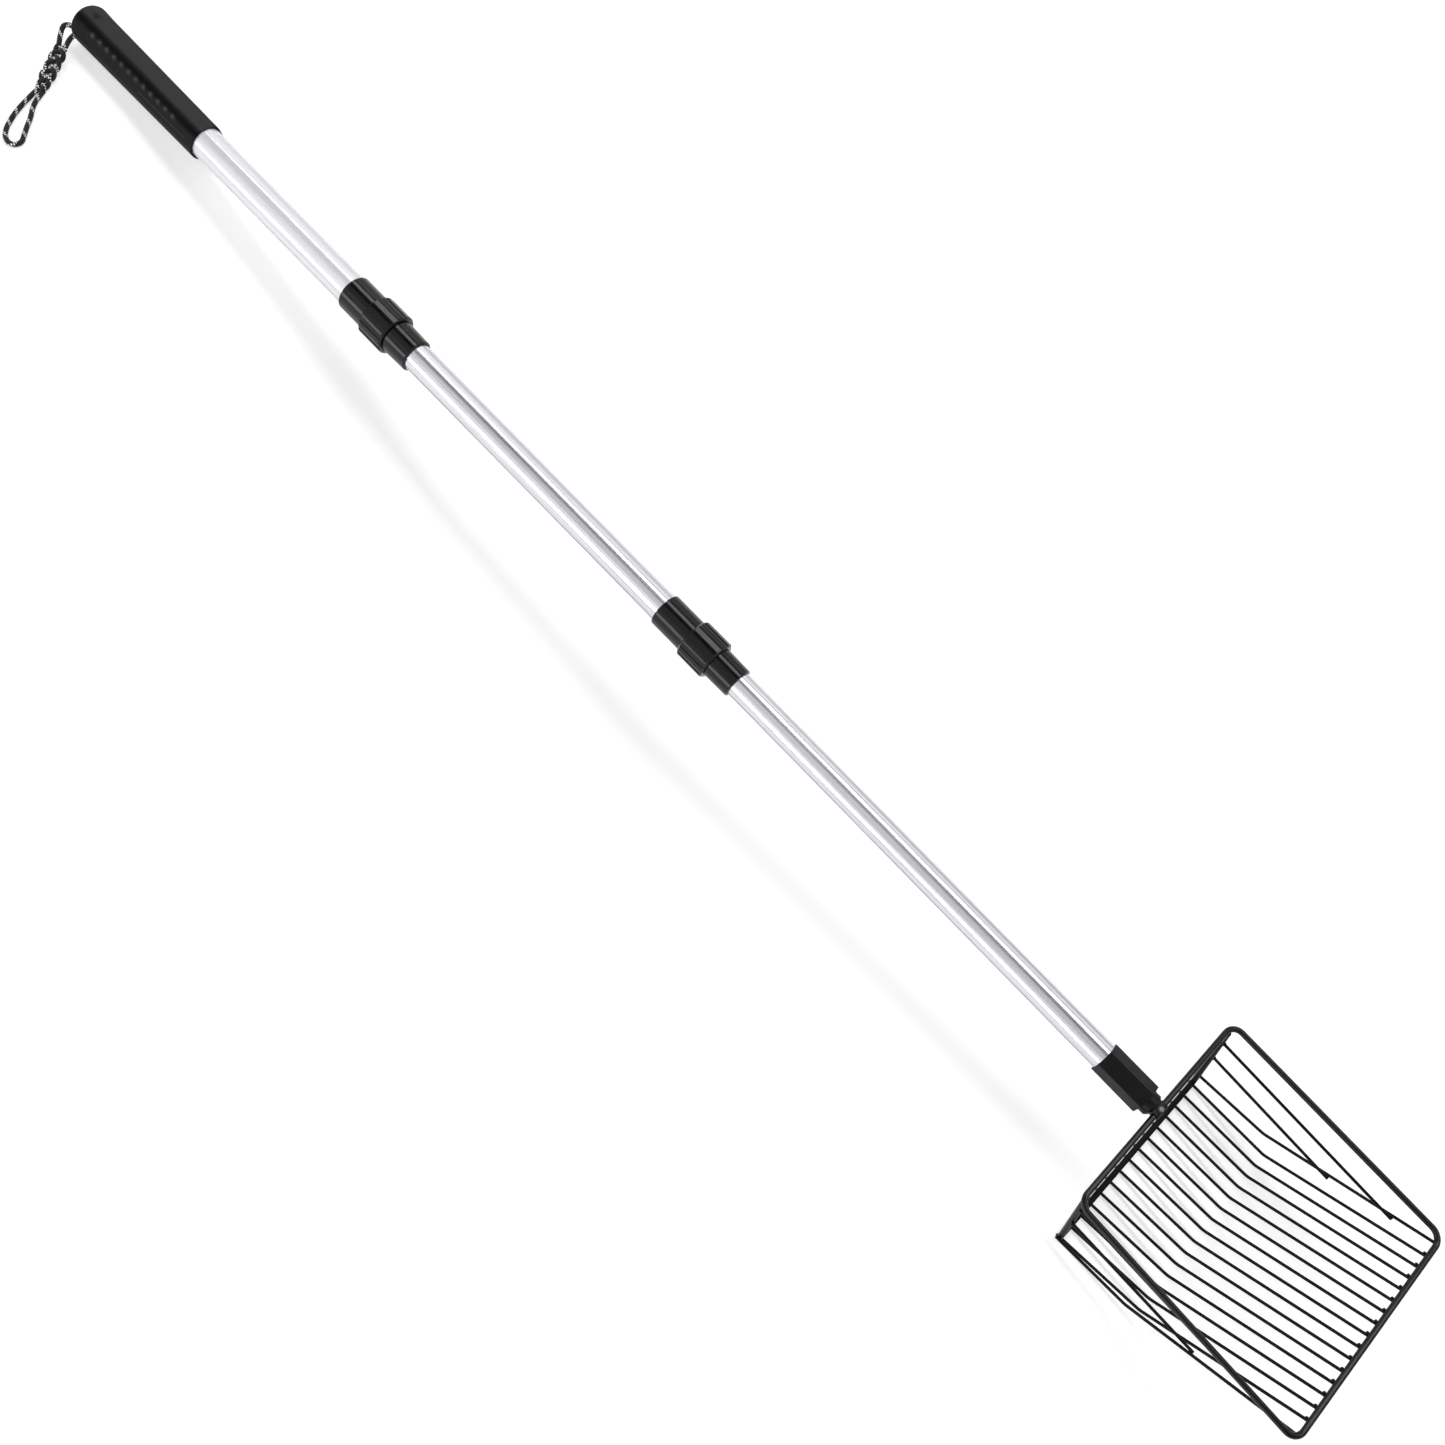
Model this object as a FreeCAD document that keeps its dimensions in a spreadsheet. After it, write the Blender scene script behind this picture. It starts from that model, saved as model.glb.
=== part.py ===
import FreeCAD, Part
import math
import os
import re
import Sketcher

# Wire basket skimmer on a three-section telescopic pole, millimetres, floor at height zero.
# The pole lies along Y in the X = 0 plane, the basket points to +Y, +Z is up.

SIZES = {
    # grip, measured from its closed end
    "grip_length": 164.3,
    "grip_end_diameter": 34.8,
    "grip_mouth_diameter": 32.4,
    "grip_end_round": 6.0,
    "grip_solid": 24.0,
    "dot_row_angle": 44.0,
    "dot_first": 28.4,
    "dot_pitch": 9.77,
    "dot_diameter": 3.0,
    "dot_rise": 0.6,
    "seam_angle": 28.0,
    "seam_width": 2.4,
    "seam_depth": 0.8,
    "seam_start": 14.0,
    "edge_line_angle": 72.0,
    "edge_line_width": 1.0,
    "edge_line_depth": 0.4,
    "edge_line_start": 92.0,
    "edge_line_length": 64.0,
    "dimple_at": 16.5,
    "dimple_angle": -6.0,
    "dimple_length": 11.0,
    "dimple_width": 9.0,
    "dimple_depth": 1.2,
    # tubes and their long flutes
    "outer_tube_diameter": 28.0,
    "middle_tube_diameter": 25.0,
    "inner_tube_diameter": 22.0,
    "outer_tube_wall": 1.0,
    "middle_tube_wall": 0.95,
    "inner_tube_wall": 0.95,
    "flute_width": 2.0,
    "flute_depth": 0.35,
    "tube_overlap": 110.0,
    # twist lock between the outer and the middle tube
    "outer_lock_at": 354.8,
    "outer_sleeve_length": 27.2,
    "outer_sleeve_diameter": 31.7,
    "outer_nut_length": 27.5,
    "outer_nut_diameter": 37.2,
    "outer_nose_length": 24.8,
    "outer_nose_diameter": 30.5,
    "outer_nose_tip": 29.2,
    # twist lock between the middle and the inner tube
    "inner_lock_at": 726.8,
    "inner_sleeve_length": 31.0,
    "inner_sleeve_diameter": 28.8,
    "inner_nut_length": 28.0,
    "inner_nut_diameter": 34.4,
    "inner_nose_length": 23.7,
    "inner_nose_diameter": 27.0,
    "inner_nose_tip": 26.2,
    # details shared by both locks
    "spigot_wall": 1.1,
    "spigot_length": 14.0,
    "tube_seat": 12.0,
    "collet_wall": 1.1,
    "nut_lip": 6.0,
    "nut_chamfer": 1.6,
    "nut_flute_width": 4.6,
    "nut_flute_depth": 0.7,
    "sleeve_round": 1.5,
    # clearances
    "running_gap": 0.3,
    "seat_gap": 0.1,
    "weld_gap": 0.05,
    # hexagonal head fitting, saddle and rivet
    "head_at": 1189.5,
    "hex_length": 41.0,
    "hex_corner_diameter": 25.2,
    "plug_length": 30.0,
    "neck_diameter": 18.0,
    "neck_round": 2.0,
    "bar_station": 1241.7,
    "pole_below_bar": 2.4,
    "pole_drop": 2.8,
    "saddle_width": 12.0,
    "saddle_wall": 1.1,
    "boss_diameter": 6.6,
    "boss_rise": 0.7,
    "rivet_head_diameter": 4.2,
    "rivet_head_height": 0.8,
    "rivet_shank_diameter": 2.0,
    "rivet_shank_length": 1.2,
    # wire basket
    "frame_wire": 4.6,
    "grid_wire": 2.4,
    "back_width": 185.5,
    "front_width": 190.0,
    "basket_length": 205.2,
    "frame_corner": 9.5,
    "leg_inset": 7.25,
    "leg_corner": 4.6,
    "leg_offset": 1.4,
    "lower_bar_y": 28.7,
    "floor_depth": 95.0,
    "floor_kink_y": 101.9,
    "floor_kink_depth": 84.0,
    "floor_front_depth": 3.3,
    "wire_tail": 2.5,
    "wire_bend": 10.0,
    "floor_edge_back": 8.75,
    "floor_edge_front": 18.42,
    "corner_wire_inset": 5.6,
    "corner_wire_depth": 86.0,
    "corner_kink_y": 89.4,
    "corner_kink_depth": 75.9,
    "corner_front_depth": 3.0,
    "upper_side_depth": 20.7,
    "upper_side_out": 1.8,
    "lower_side_depth": 47.4,
    "lower_side_out": 2.3,
    "side_wire_end": 1.5,
    # lanyard
    "cord_diameter": 4.5,
    "cord_off_floor": 0.2,
    "weave_width": 13.5,
    "weave_height": 8.0,
    "weave_length": 33.0,
    "taper_length": 11.1,
    "taper_width": 9.6,
    "taper_height": 5.0,
}

# lanyard points, measured from the middle of the grip's closed end at floor level
END_STRAND = [(12.98, 0.1, 17.0), (14.4, -5.0, 17.0), (20.5, -7.0, 14.5), (31.7, 4.9, 10.1)]
SIDE_STRAND = [(17.5, 7.4, 16.6), (22.5, 7.6, 15.6), (28.45, 9.26, 10.2)]
WEAVE_FROM = (30.9, 7.6, 10.0)
WEAVE_TO = (68.1, 30.2, 3.0)
LOOP_FROM = (69.5, 28.2)
LOOP_STEPS = [(0, 0), (18.0, 6.1), (34.5, 14.1), (49.0, 24.6), (52.0, 36.6), (43.0, 40.6), (34.4, 31.9),
              (20.5, 20.6), (11.0, 10.1), (-2.6, 4.1)]

FLUTES = 12
DOTS = 12
FLOOR_WIRES = 15

# worked out from the sizes above, in order
DERIVED = {
    "leg_spread": "back_width - 2 * leg_inset",
    "floor_pitch_back": "(back_width / 2 - floor_edge_back) / %d" % (FLOOR_WIRES // 2),
    "floor_pitch_front": "(front_width / 2 - floor_edge_front) / %d" % (FLOOR_WIRES // 2),
    "corner_wire_front_x": "front_width / 2 - corner_wire_inset",
    "upper_side_x": "leg_spread / 2 + upper_side_out",
    "lower_side_x": "leg_spread / 2 + lower_side_out",
    "saddle_outer": "frame_wire / 2 + seat_gap + saddle_wall",
    "neck_length": "bar_station - saddle_outer - weld_gap - head_at - hex_length",
    "grip_taper": "atan((grip_end_diameter - grip_mouth_diameter) / 2 / grip_length) / 1 deg",
    "bar_reach": "basket_length",
    "floor_rise": "atan((floor_depth - floor_kink_depth) / (floor_kink_y - lower_bar_y)) / 1 deg",
    "floor_ramp": "atan((floor_kink_depth - floor_front_depth) / (bar_reach - floor_kink_y)) / 1 deg",
    "wire_gap": "(frame_wire + grid_wire) / 2 + weld_gap",
    "corner_wire_x": "leg_spread / 2 + wire_gap",
    "lower_bar_z": "-floor_depth + wire_gap / cos(floor_rise)",
    "lower_bar_far": "sqrt(lower_bar_y ^ 2 + lower_bar_z ^ 2)",
    "leg_lean": "atan(lower_bar_y / -lower_bar_z) / 1 deg - asin(leg_offset / lower_bar_far) / 1 deg",
    "leg_in_bend": "leg_spread / 2 + frame_wire / 2 - back_width / 2 + frame_corner",
    "leg_clear": "frame_corner - sqrt(frame_corner ^ 2 - leg_in_bend ^ 2)",
    "leg_reach": "sqrt(lower_bar_far ^ 2 - leg_offset ^ 2)",
    "leg_length": "leg_reach - frame_wire / 2 - weld_gap - leg_clear * sin(leg_lean)",
    "corner_start_y": "lower_bar_y - (lower_bar_z + corner_wire_depth) * -tan(leg_lean)",
    "corner_rise": "atan((corner_wire_depth - corner_kink_depth) / (corner_kink_y - corner_start_y)) / 1 deg",
    "corner_ramp": "atan((corner_kink_depth - corner_front_depth) / (bar_reach - corner_kink_y)) / 1 deg",
    "low_y": "lower_bar_y - wire_tail * cos(floor_rise) + grid_wire / 2 * sin(floor_rise)",
    "low_z": "-floor_depth - wire_tail * sin(floor_rise) - grid_wire / 2 * cos(floor_rise)",
    "end_core": "grip_end_diameter / 2 - grip_end_round",
    "end_reach": "bar_station - grip_end_round",
    "end_y": "(pole_below_bar + end_core) * sin(pole_drop) - end_reach * cos(pole_drop)",
    "end_z": "-(pole_below_bar + end_core) * cos(pole_drop) - end_reach * sin(pole_drop)",
    "span_y": "low_y - end_y",
    "span_z": "end_z - low_z",
    "span": "sqrt(span_y ^ 2 + span_z ^ 2)",
    "floor_tilt": "atan(span_z / span_y) / 1 deg - asin(grip_end_round / span) / 1 deg",
    "pole_pitch": "pole_drop + floor_tilt",
    "bar_height": "-(low_y * sin(floor_tilt) + low_z * cos(floor_tilt))",
    "grip_end_y": "pole_below_bar * sin(pole_pitch) - bar_station * cos(pole_pitch)",
    "grip_end_z": "bar_height - pole_below_bar * cos(pole_pitch) - bar_station * sin(pole_pitch)",
    "front_y": "basket_length * cos(floor_tilt) + frame_wire / 2",
    "back_y": "grip_end_y + grip_end_round * (cos(pole_pitch) - 1) - end_core * sin(pole_pitch)",
    "bar_y": "-(front_y + back_y) / 2",
}

HEAD = ("create(<<placement>>; create(<<vector>>; 0; bar_y; bar_height);"
        " create(<<rotation>>; create(<<vector>>; 1; 0; 0); floor_tilt))")

POLE = ("create(<<placement>>; create(<<vector>>; 0; bar_y + grip_end_y; grip_end_z); create(<<rotation>>;"
        " create(<<vector>>; 0; cos(45 + pole_pitch / 2); sin(45 + pole_pitch / 2)); 180))")

doc = FreeCAD.newDocument("LeafSkimmer")
sheet = doc.addObject("Spreadsheet::Sheet", "Sizes")
for row, (name, value) in enumerate(list(SIZES.items()) + list(DERIVED.items()), start=1):
    sheet.set("A%d" % row, name)
    sheet.set("B%d" % row, "=" + value if isinstance(value, str) else repr(value))
    sheet.setAlias("B%d" % row, name)
doc.recompute()

NAMES = set(SIZES) | set(DERIVED)
made = []


def linked(text):
    """Point every size name in an expression at the sheet."""
    return re.sub(r"[a-z]\w*", lambda m: "Sizes." + m.group() if m.group() in NAMES else m.group(), text)


def bind(thing, prop, text):
    thing.setExpression(prop, linked(text))


def number(name):
    return float(sheet.get(name))


def plane(body, role):
    return [item for item in body.Origin.OriginFeatures if item.Role == role][0]


def turned(x, y, z, angle):
    """Placement that only turns, about one axis, in degrees."""
    return FreeCAD.Placement(FreeCAD.Vector(), FreeCAD.Rotation(FreeCAD.Vector(x, y, z), angle))


def sketch_on(body, role, name, height=None, turn=None):
    sketch = body.newObject("Sketcher::SketchObject", name)
    sketch.AttachmentSupport = [(plane(body, role), "")]
    sketch.MapMode = "FlatFace"
    if height is not None:
        bind(sketch, "AttachmentOffset.Base.z", height)
    if turn is not None:
        bind(sketch, "AttachmentOffset.Rotation.Angle", turn)
    return sketch


def locate(sketch, index, corner, across, along, seed=(1.0, 1.0)):
    """Fix one point of a sketch at two expressions, and return the two constraints."""
    pair = []
    for kind, text, first in (("DistanceX", across, seed[0]), ("DistanceY", along, seed[1])):
        k = sketch.addConstraint(Sketcher.Constraint(kind, -1, 1, index, corner, first))
        bind(sketch, "Constraints[%d]" % k, text)
        pair.append(k)
    return pair


def polygon(sketch, corners):
    """Closed outline through corners given as pairs of expressions."""
    count = len(corners)
    first = sketch.GeometryCount
    spots = []
    for k in range(count):
        turn = 2 * math.pi * k / count
        spots.append(FreeCAD.Vector(20 + 9 * math.cos(turn), 20 + 9 * math.sin(turn), 0))
    for k in range(count):
        sketch.addGeometry(Part.LineSegment(spots[k], spots[(k + 1) % count]), False)
    for k in range(count):
        sketch.addConstraint(Sketcher.Constraint("Coincident", first + k, 2, first + (k + 1) % count, 1))
    for k, (across, along) in enumerate(corners):
        locate(sketch, first + k, 1, across, along)


def circle(sketch, across, along, radius):
    k = sketch.addGeometry(Part.Circle(FreeCAD.Vector(1, 1, 0), FreeCAD.Vector(0, 0, 1), 1.0), False)
    locate(sketch, k, 3, across, along)
    c = sketch.addConstraint(Sketcher.Constraint("Radius", k, 1.0))
    bind(sketch, "Constraints[%d]" % c, radius)


def bent_path(sketch, corners, radii):
    """Straight runs through the corners, joined by tangent arcs of the given radii."""
    marks = []
    pairs = []
    for step, (across, along) in enumerate(corners):
        k = sketch.addGeometry(Part.Point(FreeCAD.Vector(1 + step, 2 + step * step, 0)), True)
        pairs.append(locate(sketch, k, 1, across, along))
        marks.append(k)
    doc.recompute()
    spots = []
    for a, b in pairs:
        spots.append(FreeCAD.Vector(sketch.getDatum(a).Value, sketch.getDatum(b).Value, 0))
    inner = range(1, len(spots) - 1)
    trims = {}
    for k in inner:
        before = (spots[k] - spots[k - 1]).normalize()
        after = (spots[k + 1] - spots[k]).normalize()
        turn = before.getAngle(after)
        trims[k] = (radii[k - 1] * math.tan(turn / 2), before, after)
    lines = []
    for k in range(len(spots) - 1):
        start = spots[k]
        stop = spots[k + 1]
        if k in trims:
            start = start + trims[k][2] * trims[k][0]
        if k + 1 in trims:
            stop = stop - trims[k + 1][1] * trims[k + 1][0]
        lines.append(sketch.addGeometry(Part.LineSegment(start, stop), False))
    arcs = []
    for k in inner:
        trim, before, after = trims[k]
        start = spots[k] - before * trim
        stop = spots[k] + after * trim
        middle = spots[k] + (after - before).normalize() * (math.hypot(trim, radii[k - 1]) - radii[k - 1])
        arc = Part.Arc(start, middle, stop)
        arcs.append((sketch.addGeometry(arc, False), before.cross(after).z > 0))
    locate(sketch, lines[0], 1, *corners[0], seed=(spots[0].x, spots[0].y))
    locate(sketch, lines[-1], 2, *corners[-1], seed=(spots[-1].x, spots[-1].y))
    for k, (arc, left) in enumerate(arcs):
        first, last = (1, 2) if left else (2, 1)
        sketch.addConstraint(Sketcher.Constraint("Tangent", lines[k], 2, arc, first))
        sketch.addConstraint(Sketcher.Constraint("Tangent", arc, last, lines[k + 1], 1))
        sketch.addConstraint(Sketcher.Constraint("PointOnObject", marks[k + 1], 1, lines[k]))
        sketch.addConstraint(Sketcher.Constraint("PointOnObject", marks[k + 1], 1, lines[k + 1]))
        sketch.addConstraint(Sketcher.Constraint("Radius", arc, radii[k]))


def new_body(node):
    body = doc.addObject("PartDesign::Body", node)
    body.Label = node
    made.append((node, body))
    return body


def feature(body, kind, name, **values):
    item = body.newObject("PartDesign::" + kind, name)
    for key, value in values.items():
        setattr(item, key, value)
    return item


def revolve(body, corners, name):
    """Turn an outline of (radius, station) pairs about the body's Z axis."""
    sketch = sketch_on(body, "XZ_Plane", name + "_outline")
    polygon(sketch, corners)
    return feature(body, "Revolution", name, Profile=sketch, ReferenceAxis=(sketch, ["V_Axis"]), Angle=360)


def around(body, item, count, name):
    """Repeat one cut evenly about the body's Z axis."""
    axis = plane(body, "Z_Axis")
    pattern = feature(body, "PolarPattern", name, Originals=[item], Axis=(axis, [""]), Angle=360)
    pattern.Occurrences = count
    body.Tip = pattern
    return pattern


def long_flutes(body, outside, width, depth, name):
    """Shallow straight channels along the whole piece, evenly spaced."""
    sketch = sketch_on(body, "XY_Plane", name + "_section")
    half = width + " / 2"
    polygon(sketch, [("-" + half, outside + " - " + depth), (half, outside + " - " + depth),
                     (half, outside + " + 1"), ("-" + half, outside + " + 1")])
    cut = feature(body, "Pocket", name, Profile=sketch, Type="ThroughAll", Midplane=True)
    return around(body, cut, FLUTES, name + "_round")


def on_pole(body, station):
    """Seat a piece on the pole axis, its local Z along the pole and its local Y up."""
    bind(body, "Placement", POLE + " * create(<<placement>>; create(<<vector>>; 0; 0; " + station + ");"
         " create(<<rotation>>; create(<<vector>>; 0; 0; 1); 0))")


def on_head(body, x, y, z, axis="1; 0; 0", angle="0", yaw="0"):
    """Seat a piece in the basket's own frame, turned by yaw and then about one axis."""
    bind(body, "Placement",
         HEAD + " * create(<<placement>>; create(<<vector>>; " + x + "; " + y + "; " + z + ");"
         " create(<<rotation>>; create(<<vector>>; 0; 0; 1); " + yaw + "))"
         " * create(<<placement>>; create(<<vector>>; 0; 0; 0);"
         " create(<<rotation>>; create(<<vector>>; " + axis + "); " + angle + "))")


def build_grip():
    body = new_body("grip")
    bore = "outer_tube_diameter / 2 + seat_gap"
    far = "grip_end_diameter / 2"
    corners = [("0", "0")]
    for step in range(0, 91, 15):
        corners.append((far + " - grip_end_round + grip_end_round * sin(%d)" % step,
                        "grip_end_round - grip_end_round * cos(%d)" % step))
    corners += [("grip_mouth_diameter / 2", "grip_length"), (bore, "grip_length"), (bore, "grip_solid"),
                ("0", "grip_solid")]
    revolve(body, corners, "grip_shell")
    seam = sketch_on(body, "XY_Plane", "seam_section", "seam_start", "seam_angle - dot_row_angle")
    seam.AttachmentOffset = turned(0, 0, 1, 1)
    polygon(seam, [("-seam_width / 2", "grip_mouth_diameter / 2 - seam_depth"),
                   ("seam_width / 2", "grip_mouth_diameter / 2 - seam_depth"),
                   ("seam_width / 2", far + " + 1"), ("-seam_width / 2", far + " + 1")])
    feature(body, "Pocket", "seam", Profile=seam, Type="ThroughAll", Reversed=True)
    line = sketch_on(body, "XY_Plane", "edge_line_section", "edge_line_start",
                     "edge_line_angle - dot_row_angle")
    line.AttachmentOffset = turned(0, 0, 1, 1)
    polygon(line, [("-edge_line_width / 2", "grip_mouth_diameter / 2 - edge_line_depth"),
                   ("edge_line_width / 2", "grip_mouth_diameter / 2 - edge_line_depth"),
                   ("edge_line_width / 2", far + " + 1"), ("-edge_line_width / 2", far + " + 1")])
    cut = feature(body, "Pocket", "edge_line", Profile=line, Reversed=True)
    bind(cut, "Length", "edge_line_length")
    dot = sketch_on(body, "XZ_Plane", "dot_section")
    dot.AttachmentOffset = turned(1, 0, 0, 1)
    bind(dot, "AttachmentOffset.Base.z", "-(grip_end_diameter / 2 - 1)")
    bind(dot, "AttachmentOffset.Rotation.Angle", "grip_taper")
    circle(dot, "0", "dot_first", "dot_diameter / 2")
    stud = feature(body, "Pad", "dot", Profile=dot, Reversed=True)
    bind(stud, "Length", "1 + dot_rise")
    row = feature(body, "LinearPattern", "dot_row", Originals=[stud], Direction=(dot, ["V_Axis"]),
                  Occurrences=DOTS)
    bind(row, "Length", "dot_pitch * %d" % (DOTS - 1))
    body.Tip = row
    bowl = feature(body, "SubtractiveEllipsoid", "dimple")
    bind(bowl, "Radius1", "dimple_depth")
    bind(bowl, "Radius2", "dimple_length / 2")
    bind(bowl, "Radius3", "dimple_width / 2")
    bind(bowl, "Placement",
         "create(<<placement>>; create(<<vector>>; 0; 0; dimple_at);"
         " create(<<rotation>>; create(<<vector>>; 0; 0; 1); dimple_angle - dot_row_angle))"
         " * create(<<placement>>; create(<<vector>>; 0; grip_end_diameter / 2; 0);"
         " create(<<rotation>>; create(<<vector>>; 1; 0; 0); -90))")
    body.Tip = bowl
    bind(body, "Placement", POLE + " * create(<<placement>>; create(<<vector>>; 0; 0; 0);"
         " create(<<rotation>>; create(<<vector>>; 0; 0; 1); dot_row_angle))")
    return body


def build_tube(node, diameter, wall, start, stop):
    body = new_body(node)
    section = sketch_on(body, "XY_Plane", node + "_section")
    circle(section, "0", "0", diameter + " / 2")
    circle(section, "0", "0", diameter + " / 2 - " + wall)
    pad = feature(body, "Pad", node + "_length", Profile=section)
    bind(pad, "Length", stop + " - (" + start + ")")
    long_flutes(body, diameter + " / 2", "flute_width", "flute_depth", node + "_flute")
    on_pole(body, start)


def build_lock(side, carrier, rider):
    """Sleeve on the carrier tube, twist nut, and the collet the rider tube runs through."""
    length = side + "_sleeve_length"
    nut_end = length + " + " + side + "_nut_length"
    seat = carrier + "_tube_diameter / 2 + seat_gap"
    spigot = seat + " + spigot_wall"
    bore = rider + "_tube_diameter / 2 + running_gap"
    tail = bore + " + collet_wall"

    sleeve = new_body(side + "_sleeve")
    outside = side + "_sleeve_diameter / 2"
    corners = [(seat, "0")]
    for step in (0, 30, 60, 90):
        corners.append((outside + " - sleeve_round + sleeve_round * sin(%d)" % step,
                        "sleeve_round - sleeve_round * cos(%d)" % step))
    corners += [(outside, length), (spigot, length), (spigot, length + " + spigot_length"),
                (seat, length + " + spigot_length")]
    revolve(sleeve, corners, side + "_sleeve_shell")
    on_pole(sleeve, side + "_lock_at")

    nut = new_body(side + "_nut")
    outside = side + "_nut_diameter / 2"
    start = length + " + running_gap"
    stop = nut_end + " - running_gap"
    free = spigot + " + running_gap"
    lip = tail + " + running_gap"
    revolve(nut, [(free, start), (outside + " - nut_chamfer", start), (outside, start + " + nut_chamfer"),
                  (outside, stop + " - nut_chamfer"), (outside + " - nut_chamfer", stop), (lip, stop),
                  (lip, stop + " - nut_lip"), (free, stop + " - nut_lip")], side + "_nut_shell")
    long_flutes(nut, outside, "nut_flute_width", "nut_flute_depth", side + "_nut_flute")
    on_pole(nut, side + "_lock_at")

    collet = new_body(side + "_collet")
    tip = nut_end + " + " + side + "_nose_length"
    revolve(collet, [(bore, length + " + tube_seat"), (tail, length + " + tube_seat"), (tail, nut_end),
                     (side + "_nose_diameter / 2", nut_end), (side + "_nose_tip / 2", tip + " - 1"),
                     (side + "_nose_tip / 2 - 1", tip), (bore, tip)], side + "_collet_shell")
    on_pole(collet, side + "_lock_at")


def build_head_fitting():
    body = new_body("head_fitting")
    corners = []
    for step in range(6):
        corners.append(("hex_corner_diameter / 2 * cos(%d)" % (60 * step + 28),
                        "hex_corner_diameter / 2 * sin(%d)" % (60 * step + 28)))
    section = sketch_on(body, "XY_Plane", "hex_section")
    polygon(section, corners)
    pad = feature(body, "Pad", "hex", Profile=section)
    bind(pad, "Length", "hex_length")
    plug = "inner_tube_diameter / 2 - inner_tube_wall - seat_gap"
    revolve(body, [("0", "-plug_length"), (plug + " - 1", "-plug_length"), (plug, "1 - plug_length"),
                   (plug, "1"), ("0", "1")], "plug")
    top = "hex_length + neck_length"
    revolve(body, [("0", "hex_length - 1"), ("neck_diameter / 2", "hex_length - 1"),
                   ("neck_diameter / 2", top + " - neck_round"), ("neck_diameter / 2 - neck_round", top),
                   ("0", top)], "neck")
    on_pole(body, "head_at")


def build_saddle():
    """Wrap round the basket bar, with a flat face against the neck and a boss for the rivet."""
    body = new_body("bar_saddle")
    block = sketch_on(body, "YZ_Plane", "saddle_block")
    low, high = "pole_below_bar - saddle_outer", "pole_below_bar + saddle_outer"
    polygon(block, [(low, "-saddle_outer"), (high, "-saddle_outer"), (high, "0"), (low, "0")])
    base = feature(body, "Pad", "saddle_body", Profile=block, Midplane=True)
    bind(base, "Length", "saddle_width")
    wrap = sketch_on(body, "YZ_Plane", "saddle_wrap")
    circle(wrap, "pole_below_bar", "0", "saddle_outer")
    ring = feature(body, "Pad", "saddle_ring", Profile=wrap, Midplane=True)
    bind(ring, "Length", "saddle_width")
    boss = sketch_on(body, "XZ_Plane", "boss_section", "-(pole_below_bar + saddle_outer - 1)")
    circle(boss, "0", "0", "boss_diameter / 2")
    lift = feature(body, "Pad", "boss", Profile=boss, Reversed=True)
    bind(lift, "Length", "1 + boss_rise")
    hole = sketch_on(body, "YZ_Plane", "bar_hole")
    circle(hole, "pole_below_bar", "0", "frame_wire / 2 + seat_gap")
    feature(body, "Pocket", "bar_bore", Profile=hole, Type="ThroughAll", Midplane=True)
    seat = sketch_on(body, "XZ_Plane", "rivet_seat", "-(pole_below_bar + saddle_outer + boss_rise)")
    circle(seat, "0", "0", "rivet_shank_diameter / 2 + seat_gap")
    drill = feature(body, "Pocket", "rivet_hole", Profile=seat, Reversed=True)
    bind(drill, "Length", "rivet_shank_length + seat_gap")
    on_pole(body, "bar_station")

    rivet = new_body("saddle_rivet")
    radius = "rivet_head_diameter / 2"
    corners = [("0", "-rivet_shank_length"), ("rivet_shank_diameter / 2", "-rivet_shank_length"),
               ("rivet_shank_diameter / 2", "0"), (radius, "0"), (radius, "rivet_head_height * 0.4"),
               (radius + " * 0.75", "rivet_head_height * 0.85"), (radius + " * 0.35", "rivet_head_height"),
               ("0", "rivet_head_height")]
    revolve(rivet, corners, "rivet_shape")
    bind(rivet, "Placement", POLE + " * create(<<placement>>;"
         " create(<<vector>>; 0; pole_below_bar + saddle_outer + boss_rise; bar_station);"
         " create(<<rotation>>; create(<<vector>>; 1; 0; 0); -90))")


def wire_body(node, corners, radii, role, thickness, across="XZ_Plane"):
    """Round wire swept along a bent path that starts at the origin."""
    body = new_body(node)
    path = sketch_on(body, role, node + "_path")
    bent_path(path, corners, radii)
    section = sketch_on(body, across, node + "_section")
    circle(section, "0", "0", thickness + " / 2")
    doc.recompute()
    sweep = feature(body, "AdditivePipe", node + "_sweep", Profile=section)
    sweep.Spine = (path, [""])
    sweep.Transition = "Transformed"
    return body


def build_rim():
    radius = number("frame_corner")
    corners = [("0", "0"), ("back_width / 2", "0"), ("front_width / 2", "basket_length"),
               ("-front_width / 2", "basket_length"), ("-back_width / 2", "0"), ("0", "0")]
    body = wire_body("rim_frame", corners, [radius] * 4, "XY_Plane", "frame_wire", "YZ_Plane")
    on_head(body, "0", "0", "0")


def build_back_bar():
    radius = number("leg_corner")
    corners = [("0", "0"), ("0", "-leg_length"), ("leg_spread", "-leg_length"), ("leg_spread", "0")]
    body = wire_body("back_bar", corners, [radius] * 2, "XY_Plane", "frame_wire", "XZ_Plane")
    on_head(body, "-leg_spread / 2", "lower_bar_y - leg_length * sin(leg_lean)",
            "lower_bar_z + leg_length * cos(leg_lean)", angle="90 + leg_lean")


def kinked_wire(node, start, kink, rise, ramp, depth, bar_y, placing):
    """Wire with one bend: a slow rise along the floor, then the ramp up to the front bar."""
    flat = "(" + kink + " - (" + start + ")) / cos(" + rise + ")"
    turn = "(" + ramp + " - " + rise + ")"
    reach = "(" + bar_y + " - " + kink + ") / cos(" + ramp + ")"
    lift = depth + " * sin(" + ramp + ") - sqrt((frame_wire / 2 + weld_gap) ^ 2 - (" \
        + depth + " * cos(" + ramp + ") - grid_wire / 2) ^ 2)"
    slope = "(" + reach + " + " + lift + ")"
    corners = [("0", "0"), (flat, "0"), (flat + " + " + slope + " * cos" + turn, slope + " * sin" + turn)]
    body = wire_body(node, corners, [number("wire_bend")], "YZ_Plane", "grid_wire", "XZ_Plane")
    placing(body)


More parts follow.
